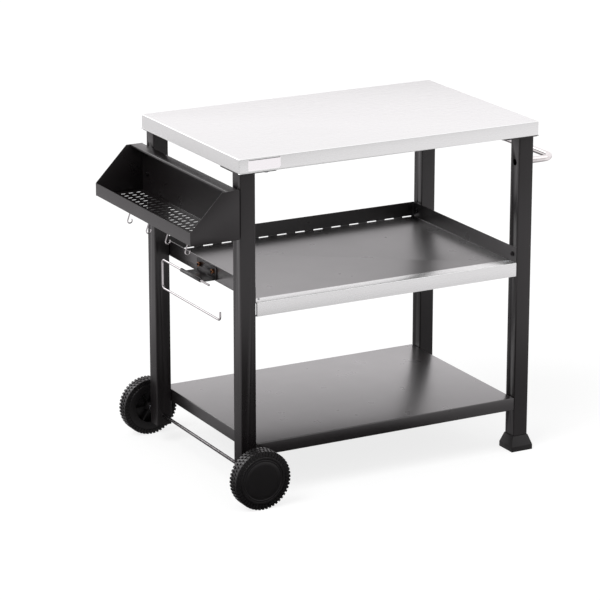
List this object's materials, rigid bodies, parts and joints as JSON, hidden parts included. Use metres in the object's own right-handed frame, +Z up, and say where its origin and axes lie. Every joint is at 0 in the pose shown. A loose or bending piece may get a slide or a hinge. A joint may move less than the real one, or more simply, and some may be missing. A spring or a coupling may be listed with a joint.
{
  "type": "outdoor pizza oven table",
  "caption": "Wheeled outdoor cooking table with a steel worktop, walled tray, lower shelf, push handle, spice box with hanging hooks and a swinging towel bar.",
  "frame": {"origin": "middle of the whole table's outline on the floor, halfway between the spice box's lip and the handle and halfway between the wheels' outer faces", "axes": "+Z up; +Y to the back, away from the tray's open, trimmed front; +X to the handle end, the spice box and wheels are at -X"},
  "size_m": [1.01, 0.6478, 0.8382],
  "materials": {
    "brushed_stainless": "fine brushed satin stainless sheet",
    "polished_stainless": "polished stainless tube and wire",
    "black_powder_coat": "satin black powder coat",
    "black_plastic": "moulded matt black plastic",
    "zinc_steel": "bright zinc plated steel",
    "black_steel": "black oxide steel",
    "yellow_zinc": "yellow passivated zinc plate",
    "badge_metal": "blank satin plate"
  },
  "bodies": {
    "table": {"worktop": "brushed_stainless", "tray_trim": "brushed_stainless", "stiffener_front": "brushed_stainless", "stiffener_rear": "brushed_stainless", "handle": "polished_stainless", "leg_front_left": "black_powder_coat", "leg_front_right": "black_powder_coat", "leg_rear_left": "black_powder_coat", "leg_rear_right": "black_powder_coat", "corner_plate_front_left": "black_powder_coat", "corner_plate_front_right": "black_powder_coat", "corner_plate_rear_left": "black_powder_coat", "corner_plate_rear_right": "black_powder_coat", "middle_tray": "black_powder_coat", "bottom_shelf": "black_powder_coat", "spice_box_body": "black_powder_coat", "spice_box_end_front": "black_powder_coat", "spice_box_end_rear": "black_powder_coat", "towel_bracket": "black_powder_coat", "foot_front": "black_plastic", "foot_rear": "black_plastic", "leg_plug_front": "black_plastic", "leg_plug_rear": "black_plastic", "axle_spacers": "black_plastic", "box_spacers": "black_plastic", "axle_washers": "zinc_steel", "axle_nuts": "zinc_steel", "plate_screws": "zinc_steel", "plate_nuts": "zinc_steel", "leg_rivet_nuts": "zinc_steel", "handle_bushes": "zinc_steel", "trim_screws": "zinc_steel", "axle": "black_steel", "tray_bolts": "black_steel", "shelf_bolts": "black_steel", "box_bolts": "black_steel", "handle_bolts": "black_steel", "bracket_bolts": "black_steel", "bracket_nuts": "yellow_zinc", "badge_plate": "badge_metal"},
    "front_wheel": {"wheel_front": "black_plastic", "hub_cap_front": "black_plastic"},
    "rear_wheel": {"wheel_rear": "black_plastic", "hub_cap_rear": "black_plastic"},
    "swing_bar": {"towel_bar": "polished_stainless"},
    "hook_a": {"hook_1": "polished_stainless"},
    "hook_b": {"hook_2": "polished_stainless"},
    "hook_c": {"hook_3": "polished_stainless"},
    "hook_d": {"hook_4": "polished_stainless"}
  },
  "joints": [
    {"name": "front_wheel_spin", "type": "hinge", "parent": "table", "child": "front_wheel", "pos_m": [-0.35197, -0.307, 0.0725], "axis": [0, 1, 0], "continuous": true},
    {"name": "rear_wheel_spin", "type": "hinge", "parent": "table", "child": "rear_wheel", "pos_m": [-0.35197, 0.307, 0.0725], "axis": [0, 1, 0], "continuous": true},
    {"name": "towel_bar_swing", "type": "hinge", "parent": "table", "child": "swing_bar", "pos_m": [-0.37498, 0.004, 0.49465], "axis": [0, 1, 0], "range_deg": [-70, 225]},
    {"name": "hook_a_swing", "type": "hinge", "parent": "table", "child": "hook_a", "pos_m": [-0.47247, -0.1785, 0.64662], "axis": [0, 1, 0], "range_deg": [-30, 30]},
    {"name": "hook_b_swing", "type": "hinge", "parent": "table", "child": "hook_b", "pos_m": [-0.47247, -0.0735, 0.64662], "axis": [0, 1, 0], "range_deg": [-30, 30]},
    {"name": "hook_c_swing", "type": "hinge", "parent": "table", "child": "hook_c", "pos_m": [-0.47247, 0.0315, 0.64662], "axis": [0, 1, 0], "range_deg": [-30, 30]},
    {"name": "hook_d_swing", "type": "hinge", "parent": "table", "child": "hook_d", "pos_m": [-0.47247, 0.1365, 0.64662], "axis": [0, 1, 0], "range_deg": [-30, 30]}
  ]
}
